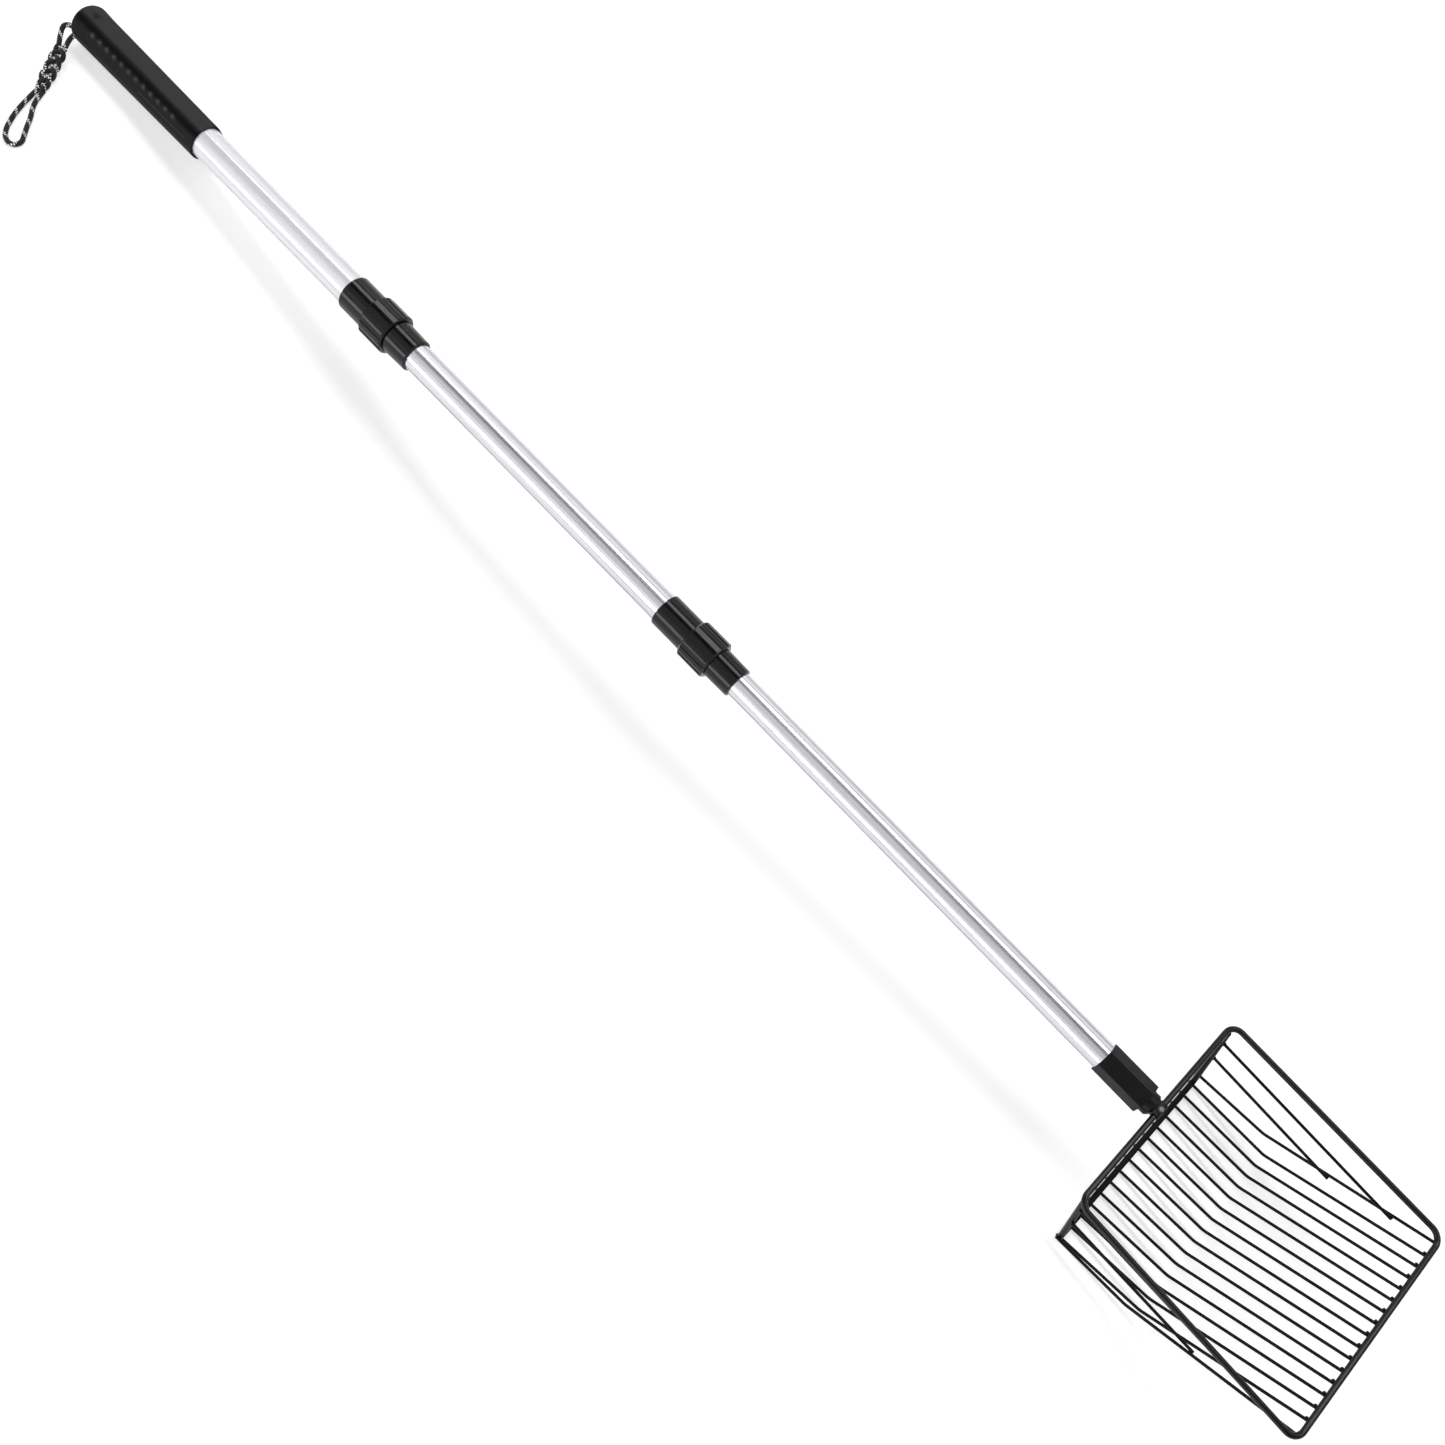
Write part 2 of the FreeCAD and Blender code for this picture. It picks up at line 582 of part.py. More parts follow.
def build_floor_wires():
    start = "(lower_bar_y - wire_tail * cos(floor_rise))"
    for k in range(1, FLOOR_WIRES + 1):
        place = k - (FLOOR_WIRES + 1) // 2
        yaw = "atan(%d * (floor_pitch_back - floor_pitch_front) / (bar_reach - lower_bar_y)) / 1 deg" % place

        def placing(body, place=place, yaw=yaw):
            on_head(body, "%d * floor_pitch_back" % place, start,
                    "-floor_depth - wire_tail * sin(floor_rise)", angle="floor_rise", yaw=yaw)
        kinked_wire("floor_wire_%02d" % k, start, "floor_kink_y", "floor_rise", "floor_ramp",
                    "floor_front_depth", "bar_reach", placing)


def build_side_wires():
    start = "(corner_start_y - wire_tail * cos(corner_rise))"
    front_run = "(bar_reach - corner_start_y)"
    fan = "((corner_wire_x - corner_wire_front_x) / " + front_run + ")"
    into = "(corner_wire_front_x - front_width / 2 + frame_corner)"
    bend = "(frame_corner - sqrt(frame_corner ^ 2 - " + into + " ^ 2))"
    for side, sign in (("left", "1"), ("right", "-1")):
        def placing(body, sign=sign):
            on_head(body, sign + " * corner_wire_x", start,
                    "-corner_wire_depth - wire_tail * sin(corner_rise)", angle="corner_rise",
                    yaw=sign + " * atan" + fan + " / 1 deg")
        depth = "(corner_front_depth + " + bend + " * tan(corner_ramp))"
        kinked_wire("corner_wire_" + side, start, "corner_kink_y", "corner_rise", "corner_ramp",
                    depth, "(bar_reach - " + bend + ")", placing)
        for level in ("upper", "lower"):
            deep = level + "_side_depth"
            begin = "(lower_bar_y - (lower_bar_z + " + deep + ") * -tan(leg_lean)" \
                " + frame_wire / 2 / cos(leg_lean) + grid_wire / 2 * tan(leg_lean) + weld_gap)"
            meet = "(bar_reach - (" + deep + " - corner_front_depth) / tan(corner_ramp))"
            end_x = "(corner_wire_x - " + fan + " * (" + meet + " - corner_start_y) - grid_wire - weld_gap)"
            run = "(" + meet + " + side_wire_end - " + begin + ")"
            slew = "atan((" + end_x + " - " + level + "_side_x) / " + run + ") / 1 deg"
            body = new_body("side_wire_%s_%s" % (side, level))
            section = sketch_on(body, "XY_Plane", "side_%s_%s_section" % (side, level))
            circle(section, "0", "0", "grid_wire / 2")
            rod = feature(body, "Pad", "side_%s_%s_rod" % (side, level), Profile=section)
            bind(rod, "Length", run)
            on_head(body, sign + " * " + level + "_side_x", begin, "-" + deep, angle="-90",
                    yaw="-" + sign + " * (" + slew + ")")


def soft_radii(points):
    """Largest easy bend at each inner point: 0.45 of the shorter run over the half turn's tangent."""
    radii = []
    for a, b, c in zip(points, points[1:], points[2:]):
        turn = (b - a).getAngle(c - b)
        radii.append(round(0.45 * min((b - a).Length, (c - b).Length) / math.tan(turn / 2), 2))
    return radii


def build_strand(node, points):
    """Free cord in space, so its path is a wire of runs and arcs and not a flat sketch."""
    spots = [FreeCAD.Vector(*p) for p in points]
    radii = soft_radii(spots)
    edges = []
    start = spots[0]
    for k, radius in enumerate(radii, start=1):
        before = (spots[k] - spots[k - 1]).normalize()
        after = (spots[k + 1] - spots[k]).normalize()
        trim = radius * math.tan(before.getAngle(after) / 2)
        enter = spots[k] - before * trim
        leave = spots[k] + after * trim
        middle = spots[k] + (after - before).normalize() * (math.hypot(trim, radius) - radius)
        edges.append(Part.LineSegment(start, enter).toShape())
        edges.append(Part.Arc(enter, middle, leave).toShape())
        start = leave
    edges.append(Part.LineSegment(start, spots[-1]).toShape())
    ring = Part.makeCircle(number("cord_diameter") / 2, spots[0], spots[1] - spots[0])
    item = doc.addObject("Part::Feature", node)
    item.Label = node
    item.Shape = Part.Wire(edges).makePipeShell([Part.Wire([ring])], True, False)
    bind(item, "Placement.Base.y", "bar_y + grip_end_y")
    made.append((node, item))
    length = sum(edge.Length for edge in edges)
    print(node, "length %.1f" % length, "radii", radii, "volume %.1f" % item.Shape.Volume)


def oval(sketch, width, height):
    """Eight-cornered flat oval, its corners cut back by a third of the height."""
    cut = height + " / 3"
    corners = []
    for across, along, x_cut, y_cut in ((1, -1, 0, 1), (1, 1, 0, -1), (1, 1, -1, 0), (-1, 1, 1, 0),
                                        (-1, 1, 0, -1), (-1, -1, 0, 1), (-1, -1, 1, 0), (1, -1, -1, 0)):
        corners.append(("%d * %s / 2 + %d * %s" % (across, width, x_cut, cut),
                        "%d * %s / 2 + %d * %s" % (along, height, y_cut, cut)))
    polygon(sketch, corners)


def build_lanyard():
    build_strand("lanyard_strand_end", END_STRAND)
    build_strand("lanyard_strand_side", SIDE_STRAND)

    weave = new_body("lanyard_weave")
    section = sketch_on(weave, "XY_Plane", "weave_section")
    oval(section, "weave_width", "weave_height")
    pad = feature(weave, "Pad", "weave_bar", Profile=section)
    bind(pad, "Length", "weave_length")
    wide = sketch_on(weave, "XY_Plane", "taper_wide", "weave_length")
    oval(wide, "weave_width", "weave_height")
    slim = sketch_on(weave, "XY_Plane", "taper_slim", "weave_length + taper_length")
    oval(slim, "taper_width", "taper_height")
    doc.recompute()
    feature(weave, "AdditiveLoft", "weave_taper", Profile=wide, Sections=[slim], Ruled=True)
    start = FreeCAD.Vector(*WEAVE_FROM)
    along = (FreeCAD.Vector(*WEAVE_TO) - start).normalize()
    side = along.cross(FreeCAD.Vector(0, 0, 1)).normalize()
    weave.Placement = FreeCAD.Placement(start, FreeCAD.Rotation(side, along.cross(side), along, "ZXY"))
    bind(weave, "Placement.Base.y", "bar_y + grip_end_y + %s" % WEAVE_FROM[1])

    spots = [FreeCAD.Vector(x, y, 0) for x, y in LOOP_STEPS]
    radii = soft_radii(spots)
    loop = new_body("lanyard_loop")
    path = sketch_on(loop, "XY_Plane", "loop_path")
    bent_path(path, [(str(x), str(y)) for x, y in LOOP_STEPS], radii)
    section = sketch_on(loop, "YZ_Plane", "loop_section")
    heading = math.degrees(math.atan2(spots[1].y, spots[1].x))
    section.AttachmentOffset = turned(0, 1, 0, heading)
    circle(section, "0", "0", "cord_diameter / 2")
    doc.recompute()
    sweep = feature(loop, "AdditivePipe", "loop_sweep", Profile=section)
    sweep.Spine = (path, [""])
    sweep.Transition = "Transformed"
    bind(loop, "Placement",
         "create(<<placement>>; create(<<vector>>; %s; bar_y + grip_end_y + %s;"
         " cord_diameter / 2 + cord_off_floor);"
         " create(<<rotation>>; create(<<vector>>; 0; 0; 1); 0))" % LOOP_FROM)
    doc.recompute()
    print("lanyard_loop length %.1f" % path.Shape.Length, "radii", radii, "volume %.1f" % loop.Shape.Volume)


build_grip()
build_tube("outer_tube", "outer_tube_diameter", "outer_tube_wall", "grip_solid",
           "outer_lock_at + outer_sleeve_length + tube_seat")
build_lock("outer", "outer", "middle")
build_tube("middle_tube", "middle_tube_diameter", "middle_tube_wall",
           "outer_lock_at + outer_sleeve_length + outer_nut_length + outer_nose_length - tube_overlap",
           "inner_lock_at + inner_sleeve_length + tube_seat")
build_lock("inner", "middle", "inner")
build_tube("inner_tube", "inner_tube_diameter", "inner_tube_wall",
           "inner_lock_at + inner_sleeve_length + inner_nut_length + inner_nose_length - tube_overlap",
           "head_at")
build_head_fitting()
build_saddle()
build_rim()
build_back_bar()
build_floor_wires()
build_side_wires()
build_lanyard()

doc.recompute()
faults = []
for node, item in made:
    state = [word for word in item.State if word in ("Invalid", "Error")]
    if state or item.Shape.isNull() or not item.Shape.isValid():
        faults.append(node)
for item in doc.Objects:
    if "Invalid" in item.State or "Error" in item.State:
        faults.append(item.Name)
if faults:
    raise RuntimeError("bad pieces: " + ", ".join(faults))

os.makedirs("parts", exist_ok=True)
for node, item in made:
    item.Shape.exportStep("parts/" + node + ".step")
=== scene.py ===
import math
import random

import bmesh
import bpy
from mathutils import Matrix, Vector


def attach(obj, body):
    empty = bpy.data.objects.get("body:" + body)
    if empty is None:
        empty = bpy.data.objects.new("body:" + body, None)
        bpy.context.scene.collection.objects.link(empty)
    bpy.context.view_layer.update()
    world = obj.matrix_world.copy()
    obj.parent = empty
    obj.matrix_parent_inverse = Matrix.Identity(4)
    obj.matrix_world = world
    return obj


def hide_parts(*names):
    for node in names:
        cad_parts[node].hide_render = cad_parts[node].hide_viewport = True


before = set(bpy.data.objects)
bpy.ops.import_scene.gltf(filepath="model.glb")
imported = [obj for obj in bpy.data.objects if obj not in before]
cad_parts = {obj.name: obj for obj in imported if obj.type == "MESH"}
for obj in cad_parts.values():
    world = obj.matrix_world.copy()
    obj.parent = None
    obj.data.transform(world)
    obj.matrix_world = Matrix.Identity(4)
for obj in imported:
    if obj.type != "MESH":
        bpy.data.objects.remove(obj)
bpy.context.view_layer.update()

# Frame of the basket rim: origin at the middle of the back bar, tilted so the floor wires rest on the floor.
RIM_AT = Vector((0.0, 0.516204, 0.096206))
RIM_TILT = math.radians(0.7462)
# Frame of the pole: origin at the closed end of the grip.
POLE_AT = Vector((0.0, -0.72297, 0.017007))
POLE_PITCH = math.radians(3.5462)

IMAGE_SIDE = 1445
FOCAL_PIXELS = 1536.4
SENSOR = 36.0
CAMERA_AT = (0.50499, 0.24351, 1.10797)
CAMERA_TURN = (21.9696, -13.1411, 136.2563)


def on_pole(station, turn=0.0, radius=0.0):
    """Point at a distance along the pole, on a radius turned from the top towards +X, in degrees."""
    a = math.radians(turn)
    along = Vector((0, math.cos(POLE_PITCH), math.sin(POLE_PITCH)))
    up = Vector((0, -math.sin(POLE_PITCH), math.cos(POLE_PITCH)))
    return POLE_AT + along * station + (up * math.cos(a) + Vector((math.sin(a), 0, 0))) * radius


def on_rim(x, y, z):
    """Point of the basket, from the middle of the back bar."""
    return RIM_AT + Matrix.Rotation(RIM_TILT, 3, "X") @ Vector((x, y, z))


# camera

camera_data = bpy.data.cameras.new("camera")
camera = bpy.data.objects.new("camera", camera_data)
bpy.context.scene.collection.objects.link(camera)
camera_data.sensor_width = SENSOR
camera_data.lens = SENSOR * FOCAL_PIXELS / IMAGE_SIDE
camera_data.clip_start = 0.02
camera.location = CAMERA_AT
camera.rotation_euler = [math.radians(a) for a in CAMERA_TURN]
bpy.context.scene.camera = camera


# materials

# the range that most of a noise's values lie in
NOISE_RANGE = (0.25, 0.75)
# stretch of the tubes' drawn grain across and along the pole
FINE_GRAIN = (620, 5, 620)
WIDE_GRAIN = (150, 2.5, 150)
SCRATCHES = (2600, 30, 2600)


class Surface:
    """Principled material with helpers for its node tree."""

    def __init__(self, name, **values):
        self.material = bpy.data.materials.new(name)
        self.material.use_nodes = True
        self.nodes = self.material.node_tree.nodes
        self.links = self.material.node_tree.links
        self.shader = self.nodes["Principled BSDF"]
        for key, value in values.items():
            self.shader.inputs[key.replace("_", " ")].default_value = value
        self.place = self.nodes.new("ShaderNodeTexCoord").outputs["Object"]

    def node(self, kind, inputs=(), **settings):
        made = self.nodes.new("ShaderNode" + kind)
        for key, value in settings.items():
            setattr(made, key, value)
        for key, value in dict(inputs).items():
            if isinstance(value, bpy.types.NodeSocket):
                self.links.new(value, made.inputs[key])
            else:
                made.inputs[key].default_value = value
        return made

    def along_pole(self, stretch):
        """Object coordinates turned about X to follow the pole, then stretched."""
        spun = self.node("Mapping", {"Vector": self.place, "Rotation": (-POLE_PITCH, 0, 0)})
        return self.node("Mapping", {"Vector": spun.outputs[0], "Scale": stretch}).outputs[0]

    def noise(self, scale, detail=4.0, rough=0.55, vector=None):
        made = self.node("TexNoise", {"Vector": vector or self.place, "Scale": scale, "Detail": detail,
                                      "Roughness": rough})
        return made.outputs["Fac"]

    def spread(self, value, low, high, start=0.0, stop=1.0):
        made = self.node("MapRange", {"Value": value, "From Min": start, "From Max": stop, "To Min": low,
                                      "To Max": high})
        return made.outputs["Result"]

    def math(self, operation, a, b=0.0):
        return self.node("Math", {0: a, 1: b}, operation=operation).outputs[0]

    def blend(self, fac, first, second):
        made = self.node("Mix", {"Factor": fac}, data_type="RGBA")
        for slot, value in ((6, first), (7, second)):
            if isinstance(value, bpy.types.NodeSocket):
                self.links.new(value, made.inputs[slot])
            else:
                made.inputs[slot].default_value = (*value, 1.0)
        return made.outputs[2]

    def tones(self, fac, first, second):
        self.links.new(self.blend(fac, first, second), self.shader.inputs["Base Color"])

    def roughness(self, value, low, high):
        self.links.new(self.spread(value, low, high, *NOISE_RANGE), self.shader.inputs["Roughness"])

    def bump(self, *heights):
        """Chain of bumps, each a height socket, its strength and its depth in metres."""
        normal = None
        for height, strength, depth in heights:
            inputs = {"Height": height, "Strength": strength, "Distance": depth}
            if normal:
                inputs["Normal"] = normal
            normal = self.node("Bump", inputs).outputs[0]
        self.links.new(normal, self.shader.inputs["Normal"])


def tube_metal(name, metal, dark, light):
    """Drawn aluminium with its grain along the pole."""
    s = Surface(name, Metallic=metal)
    fine = s.noise(1.0, 6.0, 0.6, s.along_pole(FINE_GRAIN))
    wide = s.noise(1.0, 3.0, 0.5, s.along_pole(WIDE_GRAIN))
    s.tones(s.spread(s.math("ADD", fine, wide), 0, 1, 0.7, 1.3), dark, light)
    s.roughness(fine, 0.17, 0.28)
    scratches = s.noise(1.0, 2.0, 0.7, s.along_pole(SCRATCHES))
    s.bump((scratches, 0.14, 0.00004), (wide, 0.2, 0.0001))
    return s.material


def lock_plastic():
    """Glossy black of the twist locks."""
    s = Surface("gloss_black", Specular_IOR_Level=0.3)
    cloud = s.noise(90, 5.0)
    s.tones(cloud, (0.0015, 0.0015, 0.002), (0.004, 0.004, 0.0045))
    s.roughness(cloud, 0.12, 0.22)
    s.bump((s.noise(420, 3.0), 0.25, 0.00005), (s.noise(2600, 2.0), 0.12, 0.00002))
    return s.material


def fitting_plastic():
    """Satin black of the head fitting and its saddle."""
    s = Surface("satin_black", Specular_IOR_Level=0.14)
    cloud = s.noise(120, 5.0)
    s.tones(cloud, (0.002, 0.002, 0.0025), (0.007, 0.007, 0.008))
    s.roughness(cloud, 0.3, 0.46)
    s.bump((s.noise(3200, 3.0), 0.3, 0.00003), (s.noise(500, 3.0), 0.2, 0.00005))
    return s.material


def coated_wire(name, shine, low, high):
    """Black coating with its own shine and range of roughness."""
    s = Surface(name, Specular_IOR_Level=shine)
    cloud = s.noise(160, 5.0)
    s.tones(cloud, (0.002, 0.002, 0.0025), (0.006, 0.006, 0.007))
    s.roughness(cloud, low, high)
    s.bump((s.noise(1300, 3.0), 0.35, 0.00006), (s.noise(300, 3.0), 0.2, 0.0001))
    return s.material


def rivet_metal():
    """Dull steel of the rivet's head."""
    s = Surface("rivet_steel", Metallic=0.9)
    cloud = s.noise(700, 4.0)
    s.tones(cloud, (0.1, 0.1, 0.105), (0.2, 0.2, 0.21))
    s.roughness(cloud, 0.4, 0.55)
    s.bump((s.noise(2400, 3.0), 0.3, 0.00004))
    return s.material


def grip_rubber(painted_light_name):
    """Painted light and shade kept on the mesh, from the dark channel at 0 to painted highlights at 1."""
    s = Surface("grip_rubber", Specular_IOR_Level=0.05)
    cloud = s.noise(140, 5.0)
    # painted light and shade of the grip, read from the mesh
    painted_light = s.node("Attribute", attribute_name=painted_light_name).outputs["Fac"]
    deep = s.blend(cloud, (0.0015, 0.0015, 0.002), (0.004, 0.004, 0.0045))
    # painted highlight tone, for the lit top facet, the dots and the thin line
    painted_highlight_tone = s.blend(cloud, (0.07, 0.07, 0.072), (0.11, 0.11, 0.113))
    s.tones(painted_light, deep, painted_highlight_tone)
    s.roughness(cloud, 0.42, 0.58)
    s.bump((s.noise(2600, 4.0, 0.7), 0.5, 0.00008), (s.noise(520, 3.0), 0.3, 0.00012))
    return s.material


def yarn(name, dark, light):
    """Soft fibres of one yarn of the cord."""
    s = Surface(name, Sheen_Weight=0.35, Sheen_Roughness=0.4, Specular_IOR_Level=0.3)
    fibre = s.noise(2400, 5.0, 0.7)
    s.tones(fibre, dark, light)
    s.roughness(fibre, 0.55, 0.8)
    s.bump((s.noise(6000, 3.0, 0.7), 0.6, 0.0001), (fibre, 0.4, 0.00015))
    return s.material


SATIN_TUBE = tube_metal("satin_aluminium", 0.3, (0.74, 0.74, 0.78), (0.9, 0.9, 0.93))
BRIGHT_TUBE = tube_metal("bright_aluminium", 0.85, (0.6, 0.6, 0.64), (0.8, 0.8, 0.84))
LOCK = lock_plastic()
FITTING = fitting_plastic()
RIM = coated_wire("rim_coating", 0.22, 0.16, 0.26)
BAR = coated_wire("bar_coating", 0.06, 0.3, 0.42)
WIRE = coated_wire("wire_coating", 0.1, 0.36, 0.5)
RIVET = rivet_metal()
# mesh attribute that holds the grip's painted light and shade
PAINTED_LIGHT = "painted_light"
GRIP = grip_rubber(PAINTED_LIGHT)
BLACK_YARN = yarn("black_yarn", (0.003, 0.003, 0.0035), (0.01, 0.01, 0.011))
WHITE_YARN = yarn("white_yarn", (0.8, 0.8, 0.79), (0.96, 0.96, 0.95))


def finish_of(node):
    """Material of a piece, by its name."""
    if node == "outer_tube":
        return SATIN_TUBE
    if node.endswith("tube"):
        return BRIGHT_TUBE
    if node.startswith(("outer_", "inner_")):
        return LOCK
    if node in ("head_fitting", "bar_saddle"):
        return FITTING
    return {"rim_frame": RIM, "back_bar": BAR, "saddle_rivet": RIVET}.get(node, WIRE)


for node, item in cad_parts.items():
    for slot in item.material_slots:
        slot.material = finish_of(node)


EDGE_WIDTHS = {
    "outer_sleeve": 0.0004, "outer_nut": 0.0005, "outer_collet": 0.0003,
    "inner_sleeve": 0.0004, "inner_nut": 0.0005, "inner_collet": 0.0003,
    "head_fitting": 0.0006, "bar_saddle": 0.0003,
}
EDGE_SEGMENTS = 3
EDGE_ANGLE = math.radians(32)


def soften(node, width):
    """Small rounded edges on a hard piece."""
    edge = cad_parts[node].modifiers.new("edges", "BEVEL")
    edge.width = width
    edge.segments = EDGE_SEGMENTS
    edge.limit_method = "ANGLE"
    edge.angle_limit = EDGE_ANGLE
    edge.harden_normals = True


for node, width in EDGE_WIDTHS.items():
    soften(node, width)


def add_object(name, data, body, slot, *materials):
    """A piece with its materials, carried by a body; the slot is not used."""
    item = bpy.data.objects.new(name, data)
    bpy.context.scene.collection.objects.link(item)
    for material in materials:
        data.materials.append(material)
    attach(item, body)
    return item


def smooth(mesh):
    """Smooth shading on every face."""
    for face in mesh.polygons:
        face.use_smooth = True


def join(build, near, far):
    """Band of faces between two rings of points."""
    count = len(near)
    faces = []
    for k in range(count):
        after = (k + 1) % count
        faces.append(build.faces.new((near[k], near[after], far[after], far[k])))
    return faces


# lanyard

CORD = 0.0045
LAID_AT = Vector((0.0, POLE_AT.y, 0.0))
END_STRAND = [(12.98, 0.1, 17.0), (14.4, -5.0, 17.0), (20.5, -7.0, 14.5), (31.7, 4.9, 10.1)]
SIDE_STRAND = [(17.5, 7.4, 16.6), (22.5, 7.6, 15.6), (28.45, 9.26, 10.2)]
WEAVE_FROM = (30.9, 7.6, 10.0)
WEAVE_TO = (68.1, 30.2, 3.0)
LOOP_FROM = (69.5, 28.2)
LOOP_HEIGHT = 2.45
LOOP_STEPS = [(0, 0), (18.0, 6.1), (34.5, 14.1), (49.0, 24.6), (52.0, 36.6), (43.0, 40.6), (34.4, 31.9),
              (20.5, 20.6), (11.0, 10.1), (-2.6, 4.1)]

YARNS = 8
BRAID_PITCH = 0.0135
YARN_WIDTH = 0.0014
YARN_THICK = 0.00055
BRAID_WAVE = 0.0002
SAMPLES_PER_CROSSING = 3
SPLINE_ORDER = 3
SPLINE_STEPS = 24
WHITE_YARNS = (0, 1)
YARN_SIDES = 6
CORE_SIDES = 10
# gap from the cord's outside to its core, in thicknesses of a yarn
CORE_INSET = 1.35

# woven part: half widths, half heights and turns of its three cords
PLAIT_WIDE = 0.0045
PLAIT_WIDE_IN = 0.0031
PLAIT_WIDE_OUT = 0.0027
PLAIT_HIGH = 0.0019
PLAIT_LOW = 0.0011
PLAIT_CORDS = 3
PLAIT_TURNS = 1.5
PLAIT_STEPS = 90
PLAIT_GROWS = 0.15
PLAIT_SHRINKS = 0.3
PLAIT_YARN_TURN = 1.3


def laid(x, y, z):
    """Point of the lanyard, given in millimetres from the floor under the grip's closed end."""
    return LAID_AT + Vector((x, y, z)) / 1000


def soft_line(name, points):
    """Points read along one smooth spline that has the given points as its control points."""
    curve = bpy.data.curves.new(name, "CURVE")
    curve.dimensions = "3D"
    curve.resolution_u = SPLINE_STEPS
    spline = curve.splines.new("NURBS")
    spline.points.add(len(points) - 1)
    for spot, place in zip(spline.points, points):
        spot.co = (*place, 1.0)
    spline.order_u = SPLINE_ORDER
    spline.use_endpoint_u = True
    carrier = bpy.data.objects.new(name, curve)
    mesh = bpy.data.meshes.new_from_object(carrier)
    line = [v.co.copy() for v in mesh.vertices]
    bpy.data.meshes.remove(mesh)
    bpy.data.objects.remove(carrier)
    bpy.data.curves.remove(curve)
    return line


def evenly(line, step):
    """The same line with points about a step apart, and its length."""
    total = sum((b - a).length for a, b in zip(line, line[1:]))
    count = max(2, round(total / step))
    gap = total / count
    spots = [line[0].copy()]
    travelled = 0.0
    for a, b in zip(line, line[1:]):
        run = (b - a).length
        while len(spots) <= count and len(spots) * gap <= travelled + run + 1e-9:
            spots.append(a.lerp(b, (len(spots) * gap - travelled) / run))
        travelled += run
    while len(spots) <= count:
        spots.append(line[-1].copy())
    return spots, total


def carried_frames(spots):
    """A direction, a side and an up at every point, carried along without twist."""
    frames = []
    side = None
    for k, spot in enumerate(spots):
        ahead = (spots[min(k + 1, len(spots) - 1)] - spots[max(k - 1, 0)]).normalized()
        if side is None:
            side = ahead.cross(Vector((0, 0, 1))).normalized()
        side = (side - ahead * side.dot(ahead)).normalized()
        frames.append((spot, ahead, side, side.cross(ahead)))
    return frames


def add_tube(build, rings, material):
    """Skin over rings of points, closed at both ends."""
    made = [[build.verts.new(p) for p in ring] for ring in rings]
    for near, far in zip(made, made[1:]):
        for face in join(build, near, far):
            face.material_index = material
            face.smooth = True
    for ring in (made[0][::-1], made[-1]):
        face = build.faces.new(ring)
        face.material_index = material


def add_braid(build, line, radius, first_turn):
    """Braided sheath round a core: yarns wound both ways that pass over and under each other."""
    spots, total = evenly(line, BRAID_PITCH / YARNS / SAMPLES_PER_CROSSING)
    frames = carried_frames(spots)
    gap = total / (len(spots) - 1)
    core = radius - YARN_THICK * CORE_INSET
    rings = []
    for spot, ahead, side, up in frames[::2] + frames[-1:]:
        ring = []
        for k in range(CORE_SIDES):
            a = 2 * math.pi * k / CORE_SIDES
            ring.append(spot + side * core * math.cos(a) + up * core * math.sin(a))
        rings.append(ring)
    add_tube(build, rings, 0)
    middle = radius - YARN_THICK / 2 - BRAID_WAVE
    lean = math.atan(2 * math.pi * middle / BRAID_PITCH)
    for way in (1, -1):
        for k in range(YARNS):
            rings = []
            for n, (spot, ahead, side, up) in enumerate(frames):
                share = n * gap / BRAID_PITCH
                turn = way * 2 * math.pi * share + 2 * math.pi * k / YARNS + first_turn
                out = side * math.cos(turn) + up * math.sin(turn)
                across = (up * math.cos(turn) - side * math.sin(turn)) * way
                flat = across * math.cos(lean) - ahead * math.sin(lean)
                centre = spot + out * (middle + way * BRAID_WAVE * math.cos(2 * math.pi * YARNS * share))
                ring = []
                for corner in range(YARN_SIDES):
                    a = 2 * math.pi * corner / YARN_SIDES
                    ring.append(centre + flat * (YARN_WIDTH / 2 * math.cos(a))
                                + out * (YARN_THICK / 2 * math.sin(a)))
                rings.append(ring if way > 0 else ring[::-1])
            add_tube(build, rings, 1 if way > 0 and k in WHITE_YARNS else 0)


def cord_piece(name, lines, nodes):
    """Braided cords in place of plain solids of the lanyard, each with the turn of its first yarn."""
    build = bmesh.new()
    for line, turn in lines:
        add_braid(build, line, CORD / 2, turn)
    mesh = bpy.data.meshes.new(name)
    bmesh.ops.recalc_face_normals(build, faces=build.faces)
    build.to_mesh(mesh)
    build.free()
    item = add_object(name, mesh, "handle", "cord", BLACK_YARN, WHITE_YARN)
    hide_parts(*nodes)
    return item


def plait_lines():
    """Three cords plaited flat, narrower where the strands enter and where the loop leaves."""
    start, stop = laid(*WEAVE_FROM), laid(*WEAVE_TO)
    ahead = (stop - start).normalized()
    side = Vector((0, 0, 1)).cross(ahead).normalized()
    up = ahead.cross(side)
    lines = []
    for cord in range(PLAIT_CORDS):
        line = []
        for n in range(PLAIT_STEPS + 1):
            t = n / PLAIT_STEPS
            grow = min(1.0, t / PLAIT_GROWS)
            fall = max(0.0, (t - 1 + PLAIT_SHRINKS) / PLAIT_SHRINKS)
            reach = (PLAIT_WIDE_IN + (PLAIT_WIDE - PLAIT_WIDE_IN) * grow
                     - (PLAIT_WIDE - PLAIT_WIDE_OUT) * fall)
            rise = PLAIT_LOW + (PLAIT_HIGH - PLAIT_LOW) * (grow - fall)
            phase = 2 * math.pi * (PLAIT_TURNS * t + cord / PLAIT_CORDS)
            line.append(start.lerp(stop, t) + side * reach * math.sin(phase)
                        + up * rise * math.sin(2 * phase))
        lines.append((line, cord * PLAIT_YARN_TURN))
    return lines


strand_end_line = soft_line("strand_end_line", [laid(*p) for p in END_STRAND])
strand_side_line = soft_line("strand_side_line", [laid(*p) for p in SIDE_STRAND])
loop_line = soft_line("loop_line",
                      [laid(LOOP_FROM[0] + x, LOOP_FROM[1] + y, LOOP_HEIGHT) for x, y in LOOP_STEPS])

